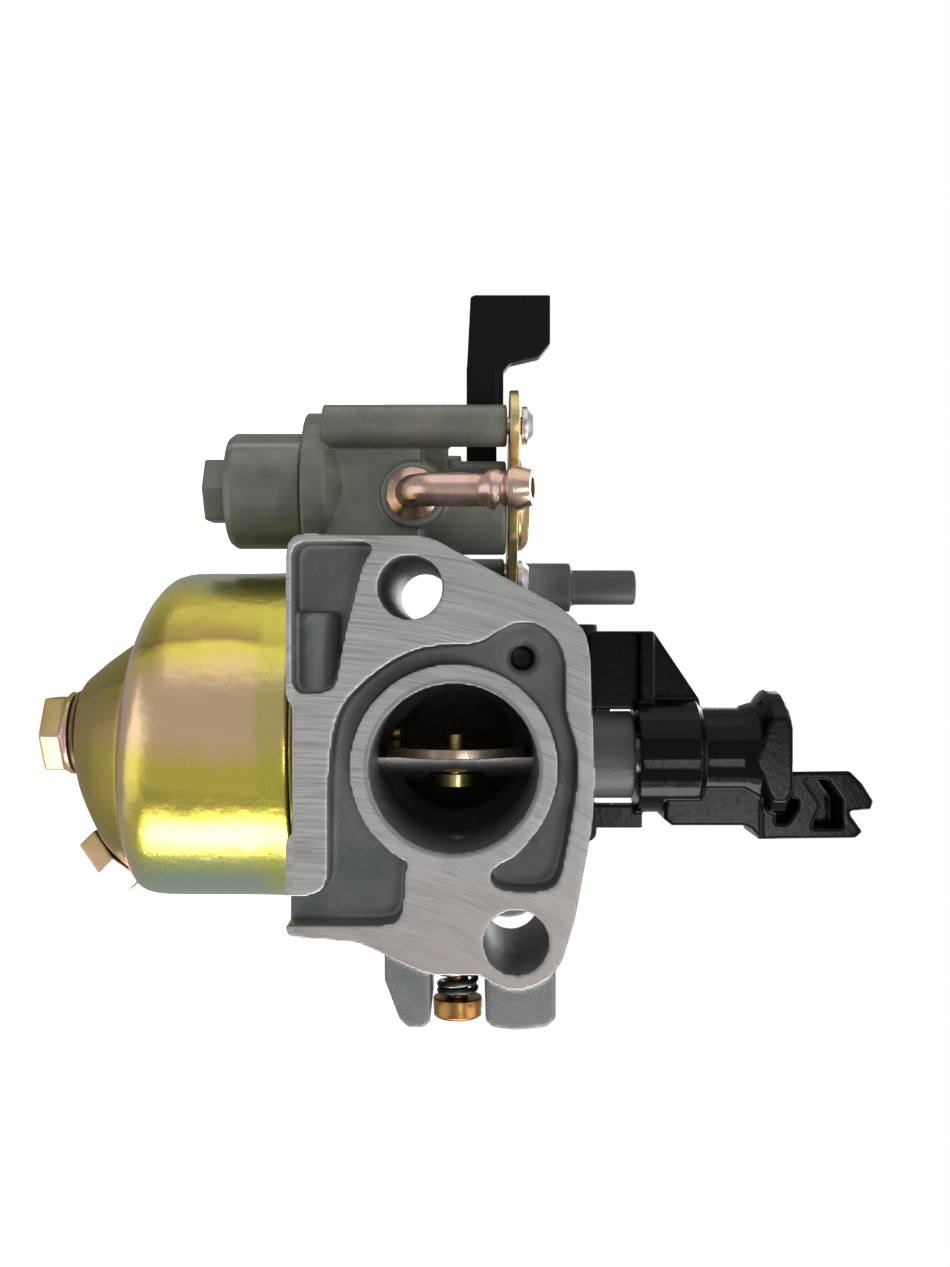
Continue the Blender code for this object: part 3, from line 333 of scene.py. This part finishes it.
def hex_look():
    """Plated hexagons coloured by which way each face turns: olive and darker on faces toward -X (painted
    shade over the plating's hue), rose and gold round the rest, paler on worn corners.
    """
    look = Look("pink_zinc_screws")
    nx, _, _ = look.parts(look.normal)
    drift = look.noise(0.22, detail=3, warp=0.5)
    # painted shade: faces turned toward -X take the darker olive end of the ramp, faces sideways and toward
    # +X the rose and gold
    turn = look.math("MULTIPLY_ADD", nx, 0.42, 0.5)
    turn = look.math("ADD", turn, look.math("MULTIPLY", look.math("SUBTRACT", drift, 0.5), 0.35))
    film = look.ramp(
        turn,
        (0.08, (0.42, 0.33, 0.10)), (0.26, (0.54, 0.42, 0.13)), (0.38, (0.74, 0.52, 0.30)),
        (0.50, (0.80, 0.50, 0.46)), (0.64, (0.80, 0.49, 0.47)), (0.78, (0.72, 0.52, 0.26)),
        (0.95, (0.74, 0.46, 0.42)),
    )
    fine = look.noise(6.0, detail=4, rough=0.7)
    grime = look.step(look.noise(1.1, detail=5, rough=0.7), 0.58, 0.78)
    film = look.mix(look.math("MULTIPLY", grime, 0.25), film, (0.20, 0.13, 0.07))
    film = look.mix(look.math("MULTIPLY", look.edges(0.53, 0.62), 0.35), film, (0.88, 0.76, 0.64))
    bumps = look.bump(look.noise(0.9, detail=2), 0.06, 0.4, look.bump(fine, 0.015, 0.7))
    rough = look.math("MULTIPLY_ADD", fine, 0.18, 0.3)
    look.set(Base_Color=film, Roughness=rough, Normal=bumps, Metallic=1.0)
    return look.material


def turned_look(name, colour, dark, roughness, axis):
    """Lathe-turned metal: fine rings round `axis` (0, 1 or 2), darker tarnish in patches."""
    look = Look(name)
    coordinate = look.parts(look.mm)[axis]
    rings = look.noise(1.0, look.whole(look.math("MULTIPLY", coordinate, 9.0), 0.0, 0.0), detail=4, rough=0.8)
    patch = look.noise(0.55, detail=4, rough=0.65, warp=0.5)
    tone = look.mix(look.step(patch, 0.45, 0.72), colour, dark)
    tone = look.mix(look.math("MULTIPLY", look.step(rings, 0.5, 0.8), 0.35), tone, dark)
    rough = look.math("MULTIPLY_ADD", patch, 0.22, roughness - 0.08)
    bumps = look.bump(rings, 0.02, 0.7)
    look.set(Base_Color=tone, Roughness=rough, Normal=bumps, Metallic=1.0)
    return look.material


def plastic_look(name, level, roughness, grain):
    """Black moulded plastic: slight orange peel, rubbed edges, faint dust and hairline scratches."""
    look = Look(name)
    peel = look.noise(1.3, detail=3, rough=0.6)
    pores = look.noise(9.0, detail=3, rough=0.7)
    dust = look.step(look.noise(0.8, detail=5, rough=0.7), 0.58, 0.8)
    tone = look.mix(look.math("MULTIPLY", dust, 0.12), (level, level, level * 1.08), (0.02, 0.02, 0.021))
    tone = look.mix(look.math("MULTIPLY", look.edges(0.53, 0.62), 0.25), tone, (0.035, 0.035, 0.036))
    hair = look.noise(1.0, look.vector("MULTIPLY", look.mm, (0.5, 0.5, 9.0)), detail=2)
    rough = look.math("MULTIPLY_ADD", peel, 0.12, roughness)
    rough = look.math("ADD", rough, look.math("MULTIPLY", look.step(hair, 0.66, 0.72), 0.18))
    bumps = look.bump(peel, 0.05, 0.35)
    bumps = look.bump(pores, 0.02, grain, bumps)
    look.set(Base_Color=tone, Roughness=rough, Normal=bumps, Metallic=0.0)
    look.shader.inputs["Specular IOR Level"].default_value = 0.15
    return look.material


def rubber_look(name, colour, worn):
    look = Look(name)
    grain = look.noise(5.0, detail=4, rough=0.7)
    bloom = look.step(look.noise(0.9, detail=4), 0.5, 0.8)
    tone = look.mix(look.math("MULTIPLY", bloom, 0.4), colour, worn)
    look.set(Base_Color=tone, Roughness=look.math("MULTIPLY_ADD", grain, 0.2, 0.6), Metallic=0.0)
    look.set(Normal=look.bump(grain, 0.03, 0.7))
    return look.material


def gauze_look():
    """Brass gauze: a woven grid of fine wires."""
    look = Look("brass_gauze")
    x, y, _ = look.parts(look.mm)
    warp, weft = (look.math("SINE", look.math("MULTIPLY", way, 21.0)) for way in (x, y))
    wires = look.math("MAXIMUM", warp, weft)
    weave = look.step(wires, 0.2, 0.9)
    look.set(Base_Color=look.mix(weave, (0.06, 0.045, 0.02), (0.72, 0.52, 0.22)), Metallic=1.0)
    look.set(Roughness=look.math("MULTIPLY_ADD", weave, -0.2, 0.55), Normal=look.bump(weave, 0.08, 0.9))
    return look.material


def choke_plate_look():
    """Steel gone nearly black with fuel varnish."""
    look = Look("varnished_steel")
    patch = look.noise(0.4, detail=4, rough=0.6, warp=0.6)
    fine = look.noise(5.0, detail=4, rough=0.7)
    tone = look.ramp(patch, (0.35, (0.020, 0.018, 0.015)), (0.7, (0.055, 0.045, 0.030)))
    look.set(Base_Color=tone, Roughness=look.math("MULTIPLY_ADD", fine, 0.2, 0.4), Metallic=0.6)
    look.set(Normal=look.bump(fine, 0.02, 0.7))
    return look.material


def cup_look():
    """The sediment cup: cast, darker than the body, with an olive cast and fine turning marks."""
    look = Look("cast_cup")
    _, _, z = look.parts(look.mm)
    cloud = look.noise(0.22, detail=4)
    grain = look.noise(3.0, detail=5, rough=0.7)
    rings = look.noise(1.0, look.whole(look.math("MULTIPLY", z, 6.0), 0.0, 0.0), detail=4, rough=0.8)
    tone = look.ramp(cloud, (0.3, (0.170, 0.170, 0.142)), (0.7, (0.250, 0.250, 0.222)))
    worn = look.math("MULTIPLY", look.edges(0.52, 0.6), 0.6)
    tone = look.mix(worn, tone, (0.42, 0.42, 0.38))
    look.set(Base_Color=tone, Metallic=0.55, Roughness=look.math("MULTIPLY_ADD", grain, 0.2, 0.34))
    look.set(Normal=look.bump(rings, 0.02, 0.5, look.bump(grain, 0.06, 0.6)))
    return look.material


def make_looks():
    gasket_low, gasket_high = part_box("bowl_gasket")
    bowl_axis = (gasket_low + gasket_high) / 2
    gold, green = (0.78, 0.62, 0.24), (0.50, 0.48, 0.20)
    copper, rose = (0.74, 0.46, 0.34), (0.80, 0.56, 0.48)
    dull, bright = (0.60, 0.50, 0.42), (0.68, 0.58, 0.50)
    return {
        "cast": cast_look(),
        "bowl": bowl_look(bowl_axis),
        "hex": hex_look(),
        "pipe": plated_look("pipe_plating", [gold, copper, rose, copper, green], 0.22, 0.2),
        "plate": plated_look("yellow_zinc_plate", [green, gold, (0.62, 0.40, 0.22), gold], 0.28),
        "washer": plated_look("brown_washer", [(0.16, 0.11, 0.06), (0.26, 0.17, 0.09)], 0.45, 0.5),
        "throttle": plated_look("throttle_plate_metal", [dull, (0.50, 0.32, 0.24), bright], 0.2, 0.2),
        "screw": plated_look("yellow_zinc_screw", [gold, (0.62, 0.56, 0.18), gold], 0.22, 0.5),
        "steel": turned_look("plated_steel", (0.80, 0.78, 0.75), (0.56, 0.52, 0.48), 0.26, 2),
        "spring": turned_look("spring_wire", (0.22, 0.22, 0.22), (0.08, 0.08, 0.08), 0.30, 0),
        "brass": turned_look("turned_brass", (0.46, 0.24, 0.075), (0.22, 0.095, 0.03), 0.28, 0),
        "jet": turned_look("jet_brass", (0.74, 0.53, 0.22), (0.42, 0.27, 0.10), 0.24, 2),
        "cup": cup_look(),
        "gloss": plastic_look("gloss_plastic", 0.002, 0.10, 0.12),
        "matte": plastic_look("matte_plastic", 0.004, 0.45, 0.5),
        "float": plastic_look("float_plastic", 0.03, 0.4, 0.4),
        "rubber": rubber_look("black_rubber", (0.015, 0.015, 0.016), (0.05, 0.05, 0.05)),
        "gasket": rubber_look("bowl_gasket_rubber", (0.055, 0.018, 0.013), (0.09, 0.04, 0.03)),
        "gauze": gauze_look(),
        "choke": choke_plate_look(),
    }


# ---------------------------------------------------------------- pieces


def dress(piece, node, material):
    """The finished piece takes a material, rides on its body and stands for its CAD node."""
    piece.data.materials.clear()
    piece.data.materials.append(material)
    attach(piece, NODE_BODY[node])
    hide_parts(node)
    return piece


def new_piece(name, mesh):
    piece = bpy.data.objects.new(name, mesh)
    bpy.context.scene.collection.objects.link(piece)
    return piece


def apply_modifiers(piece):
    bpy.context.view_layer.update()
    graph = bpy.context.evaluated_depsgraph_get()
    mesh = bpy.data.meshes.new_from_object(piece.evaluated_get(graph))
    piece.modifiers.clear()
    piece.data = mesh


def clean_copy(node):
    """A copy of a CAD node's mesh with its flat faces merged back into whole faces."""
    mesh = frame["nodes"][node].data.copy()
    mesh.materials.clear()
    bm = bmesh.new()
    bm.from_mesh(mesh)
    bmesh.ops.remove_doubles(bm, verts=bm.verts, dist=0.004 * MM)
    bmesh.ops.dissolve_limit(bm, angle_limit=math.radians(0.6), verts=bm.verts, edges=bm.edges)
    bmesh.ops.recalc_face_normals(bm, faces=bm.faces)
    for face in bm.faces:
        face.smooth = True
    bm.to_mesh(mesh)
    bm.free()
    return new_piece(node + "_piece", mesh)


def cylinder(start, end, radius, steps=96):
    """A round tool for trimming, between two points."""
    bm = bmesh.new()
    length = (end - start).length
    turn = (end - start).to_track_quat("Z", "Y").to_matrix().to_4x4()
    place = Matrix.Translation((start + end) / 2) @ turn
    bmesh.ops.create_cone(
        bm, cap_ends=True, segments=steps, radius1=radius, radius2=radius, depth=length, matrix=place
    )
    for face in bm.faces:
        face.smooth = True
    mesh = bpy.data.meshes.new("tool")
    bm.to_mesh(mesh)
    bm.free()
    return new_piece("tool", mesh)


def trim(piece, operation, tool):
    """Adds a tool's solid to a piece or takes it away, then drops the tool."""
    boolean = piece.modifiers.new("trim", "BOOLEAN")
    boolean.operation = operation
    boolean.solver = "EXACT"
    boolean.object = tool
    apply_modifiers(piece)
    bpy.data.objects.remove(tool)


def rounded(node, material, width, segments=2, angle=32):
    """A CAD node with its edges rounded off and its round faces smooth."""
    piece = clean_copy(node)
    bevel = piece.modifiers.new("round edges", "BEVEL")
    bevel.width = width * MM
    bevel.segments = segments
    bevel.limit_method = "ANGLE"
    bevel.angle_limit = math.radians(angle)
    bevel.use_clamp_overlap = True
    bevel.miter_outer = "MITER_ARC"
    apply_modifiers(piece)
    piece.data.set_sharp_from_angle(angle=math.radians(38))
    weighted = piece.modifiers.new("even shading", "WEIGHTED_NORMAL")
    weighted.keep_sharp = True
    apply_modifiers(piece)
    return dress(piece, node, material)


CAST_BORES = (
    # x and z of the axis, radius, and y where it starts and ends, in mm: the CAD bores made truly round
    ((0.0, 0.0), 9.52, -1.0, 20.0),
    ((-20.4, -4.9), 3.63, -1.0, 9.0),
    ((19.6, 7.05), 3.63, -1.0, 9.0),
)


def cast(node, material, voxel, passes, bores=()):
    """A CAD node as a casting: one skin with soft edges all over."""
    piece = clean_copy(node)
    for (x, z), radius, start, end in bores:
        low, high = Vector((x, start, z)) * MM, Vector((x, end, z)) * MM
        trim(piece, "DIFFERENCE", cylinder(low, high, radius * MM, 128))
    remesh = piece.modifiers.new("skin", "REMESH")
    remesh.mode = "VOXEL"
    remesh.voxel_size = voxel * MM
    remesh.use_smooth_shade = True
    smooth = piece.modifiers.new("soft edges", "SMOOTH")
    smooth.factor = 0.5
    smooth.iterations = passes
    apply_modifiers(piece)
    return dress(piece, node, material)


def smooth_profile(rings, steps):
    """Catmull-Rom points through a list of rings, `steps` between each two."""
    found = []
    for i in range(len(rings) - 1):
        before, here = rings[max(i - 1, 0)], rings[i]
        there, after = rings[i + 1], rings[min(i + 2, len(rings) - 1)]
        for step in range(steps):
            t = step / steps
            found.append(
                tuple(
                    0.5 * (2 * b + (c - a) * t + (2 * a - 5 * b + 4 * c - d) * t * t)
                    + 0.5 * (3 * b - a - 3 * c + d) * t**3
                    for a, b, c, d in zip(before, here, there, after)
                )
            )
    return found + [rings[-1]]


def coil_spring(node, wire, per_turn, turns, material):
    """A wire coil along X that fills its CAD node's box, closed up at both ends."""
    low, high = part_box(node)
    centre = (low + high) / 2
    radius = (high.y - low.y) / 2 - wire
    length = high.x - low.x - 2 * wire
    curve = bpy.data.curves.new(node + "_piece", "CURVE")
    curve.dimensions = "3D"
    curve.bevel_depth = wire
    curve.bevel_resolution = 4
    curve.use_fill_caps = True
    spline = curve.splines.new("POLY")
    total = int(per_turn * turns)
    spline.points.add(total)
    for i, point in enumerate(spline.points):
        share = i / total
        eased = share - 0.6 * math.sin(2 * math.pi * share) / (2 * math.pi)
        angle = 2 * math.pi * i / per_turn
        across, up = radius * math.cos(angle), radius * math.sin(angle)
        point.co = (low.x + wire + length * eased, centre.y + across, centre.z + up, 1)
    piece = bpy.data.objects.new(node + "_piece", curve)
    bpy.context.scene.collection.objects.link(piece)
    return dress(piece, node, material)


BOWL_PROFILE = (
    # height, tilt toward +X, centre x and radius, all in mm, from the rim down to the bolt seat
    (0.0, 0.0, 0.0, 20.7),
    (-0.35, 0.0, 0.0, 21.0),
    (-1.6, 0.0, 0.0, 21.02),
    (-3.8, 0.0, 0.0, 20.9),
    (-8.0, 0.0, 0.0, 20.85),
    (-13.2, 0.1, 0.0, 20.85),
    (-16.3, 0.8, 0.1, 20.7),
    (-18.2, 1.0, 0.4, 20.2),
    (-19.7, 0.8, 1.1, 19.0),
    (-20.7, 0.5, 1.9, 17.3),
    (-21.25, 0.3, 2.5, 15.6),
    (-21.5, 0.2, 2.65, 15.05),
    (-22.2, 0.1, 2.7, 14.7),
    (-23.9, 0.0, 2.75, 13.5),
    (-25.5, 0.0, 2.5, 12.1),
    (-27.1, 0.0, 1.8, 10.1),
    (-28.5, 0.0, 0.9, 8.0),
    (-29.05, 0.0, 0.2, 6.4),
    (-29.1, 0.0, 0.0, 5.7),
)
BOWL_WALL = 1.0
DRAIN_AT = Vector((9.9, 25.0, -40.4)) * MM  # a point on the drain screw's axis
DRAIN_DIR = Vector((1, 0, -1)).normalized()
DRAIN_PAD = 3.6 * MM  # from DRAIN_AT out to the pad under the drain screw's washer


def make_bowl(material):
    """The drawn bowl: a beaded rim, a shoulder that dips toward +X, a ridge and a rounded sump."""
    low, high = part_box("float_bowl")
    gasket_low, gasket_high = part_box("bowl_gasket")
    axis = (gasket_low + gasket_high) / 2
    rim = high.z
    steps = 128  # points round each ring
    outer = smooth_profile(BOWL_PROFILE, 5)
    inner = [
        (height + (BOWL_WALL if i else 0), tilt, centre, radius - BOWL_WALL)
        for i, (height, tilt, centre, radius) in enumerate(BOWL_PROFILE)
    ]
    bm = bmesh.new()
    rows = []
    for height, tilt, centre, radius in inner[::-1] + outer:
        row = []
        for i in range(steps):
            angle = 2 * math.pi * i / steps
            z = rim + (height - tilt * math.cos(angle)) * MM
            reach = radius * MM
            place = (axis.x + centre * MM + reach * math.cos(angle), axis.y + reach * math.sin(angle), z)
            row.append(bm.verts.new(place))
        rows.append(row)
    for a, b in zip(rows, rows[1:]):
        for i in range(steps):
            bm.faces.new((a[i], a[(i + 1) % steps], b[(i + 1) % steps], b[i]))
    bm.faces.new(rows[0])
    bm.faces.new(rows[-1])
    bmesh.ops.recalc_face_normals(bm, faces=bm.faces)
    for face in bm.faces:
        face.smooth = True
    mesh = bpy.data.meshes.new("float_bowl_piece")
    bm.to_mesh(mesh)
    bm.free()
    piece = new_piece("float_bowl_piece", mesh)
    pad = DRAIN_AT + DRAIN_DIR * DRAIN_PAD
    seat = Vector((axis.x, axis.y, low.z))
    for operation, start, end, radius in (
        ("UNION", DRAIN_AT + DRAIN_DIR * 1.2 * MM, pad, 6.0),
        ("DIFFERENCE", pad, DRAIN_AT + DRAIN_DIR * 14 * MM, 5.6),
        ("DIFFERENCE", DRAIN_AT - DRAIN_DIR * 2 * MM, DRAIN_AT + DRAIN_DIR * 9 * MM, 2.6),
        ("DIFFERENCE", seat - Vector((0, 0, 2 * MM)), seat + Vector((0, 0, 3 * MM)), 3.0),
    ):
        trim(piece, operation, cylinder(start, end, radius * MM))
    piece.data.set_sharp_from_angle(angle=math.radians(50))
    return dress(piece, "float_bowl", material)


def make_pieces(look):
    cast("carburetor_body", look["cast"], 0.27, 3, CAST_BORES)
    for node, name, voxel, passes in (
        ("bowl_bolt", "hex", 0.13, 12),
        ("drain_screw", "hex", 0.13, 12),
        ("throttle_lever", "gloss", 0.16, 5),
        ("fuel_valve_lever", "matte", 0.16, 5),
        ("sediment_cup", "cup", 0.2, 6),
    ):
        cast(node, look[name], voxel, passes)
    make_bowl(look["bowl"])
    for node, name, width in (
        ("bowl_bolt_washer", "washer", 0.2),
        ("drain_screw_washer", "washer", 0.2),
        ("bowl_gasket", "gasket", 0.15),
        ("throttle_shaft", "steel", 0.15),
        ("throttle_plate", "throttle", 0.12),
        ("throttle_plate_screw", "screw", 0.2),
        ("throttle_shaft_seal", "rubber", 0.15),
        ("choke_shaft", "steel", 0.15),
        ("choke_plate", "choke", 0.1),
        ("choke_plate_rivet_1", "choke", 0.2),
        ("choke_plate_rivet_2", "choke", 0.2),
        ("choke_lever", "gloss", 0.35),
        ("choke_shaft_seal", "rubber", 0.15),
        ("fuel_valve_plate", "plate", 0.25),
        ("fuel_valve_screw_1", "steel", 0.15),
        ("fuel_valve_screw_2", "steel", 0.15),
        ("fuel_valve_seal", "rubber", 0.15),
        ("fuel_valve_wave_washer", "steel", 0.1),
        ("fuel_inlet_pipe", "pipe", 0.15),
        ("sediment_cup_seal", "rubber", 0.2),
        ("fuel_strainer", "gauze", 0.1),
        ("pilot_screw", "brass", 0.2),
        ("idle_stop_screw", "matte", 0.25),
        ("pilot_jet", "matte", 0.2),
        ("main_nozzle", "jet", 0.1),
        ("main_jet", "jet", 0.15),
        ("float", "float", 0.5),
        ("float_pin", "steel", 0.15),
        ("float_needle", "jet", 0.15),
    ):
        rounded(node, look[name], width)
    coil_spring("pilot_screw_spring", 0.4 * MM, 28, 4, look["spring"])
    coil_spring("idle_stop_spring", 0.3 * MM, 28, 2.5, look["spring"])


# ---------------------------------------------------------------- stage, light and camera


def make_floor():
    low, _ = CAD_BOX
    bpy.ops.mesh.primitive_plane_add(size=40.0, location=(0, 0, low[2] - FLOOR_DROP))
    floor = bpy.context.object
    floor.name = "floor"
    look = Look("pale_floor")
    tone = look.ramp(look.noise(0.01, detail=2), (0.3, 0.78), (0.7, 0.82))
    look.set(Base_Color=tone, Roughness=0.7)
    look.shader.inputs["Emission Color"].default_value = (1, 1, 1, 1)
    look.shader.inputs["Emission Strength"].default_value = 0.75
    floor.data.materials.append(look.material)
    floor.visible_glossy = False
    floor.visible_diffuse = False


def make_world():
    """A pale room: white where the camera looks straight at it, softer grey as a light."""
    world = bpy.data.worlds.new("studio")
    bpy.context.scene.world = world
    world.use_nodes = True
    tree = world.node_tree
    shade = tree.nodes["Background"]
    seen = tree.nodes.new("ShaderNodeBackground")
    path = tree.nodes.new("ShaderNodeLightPath")
    mix = tree.nodes.new("ShaderNodeMixShader")
    shade.inputs["Color"].default_value = (0.94, 0.97, 1.0, 1)
    shade.inputs["Strength"].default_value = 0.42
    seen.inputs["Color"].default_value = (1, 1, 1, 1)
    seen.inputs["Strength"].default_value = 1.0
    tree.links.new(path.outputs["Is Camera Ray"], mix.inputs[0])
    tree.links.new(shade.outputs[0], mix.inputs[1])
    tree.links.new(seen.outputs[0], mix.inputs[2])
    tree.links.new(mix.outputs[0], tree.nodes["World Output"].inputs["Surface"])


LAMPS = (
    # name, place and size in metres, power in watts, colour
    ("key_strip", (0.40, -0.13, 0.02), (0.16, 0.5), 2.4, (1.0, 0.99, 0.96)),
    ("side_fill", (-0.46, -0.12, 0.05), (0.6, 0.6), 0.65, (0.98, 0.99, 1.0)),
    ("top_soft", (0.05, -0.20, 0.45), (0.4, 0.4), 0.9, (1, 1, 1)),
    ("low_soft", (0.05, -0.20, -0.45), (0.5, 0.5), 0.55, (1, 1, 1)),
    ("front_small", (0.10, -0.46, 0.12), (0.10, 0.10), 0.22, (1, 1, 1)),
    ("back_soft", (-0.10, 0.55, 0.30), (0.5, 0.4), 2.5, (1, 1, 1)),
)
LAMP_AIM = Vector((-0.01, 0.02, -0.005))  # the middle of the carburetor, near enough


def make_lights():
    for name, place, size, power, colour in LAMPS:
        light = bpy.data.lights.new(name, "AREA")
        light.shape = "RECTANGLE"
        light.size, light.size_y = size
        light.energy = power
        light.color = colour
        lamp = bpy.data.objects.new(name, light)
        bpy.context.scene.collection.objects.link(lamp)
        lamp.location = place
        lamp.rotation_euler = (LAMP_AIM - Vector(place)).to_track_quat("-Z", "Y").to_euler()


def make_camera():
    camera = bpy.data.objects.new("camera", bpy.data.cameras.new("camera"))
    bpy.context.scene.collection.objects.link(camera)
    camera.data.lens = LENS
    camera.data.sensor_width = SENSOR
    camera.data.clip_start = 0.005
    axes = Matrix(CAMERA_AXES).transposed().to_4x4()
    camera.matrix_world = Matrix.Translation(CAMERA_AT) @ axes
    bpy.context.scene.camera = camera
    bpy.context.scene.view_settings.view_transform = "Standard"


def main():
    make_camera()
    make_world()
    make_lights()
    make_floor()
    make_pieces(make_looks())
    bpy.context.view_layer.update()


main()
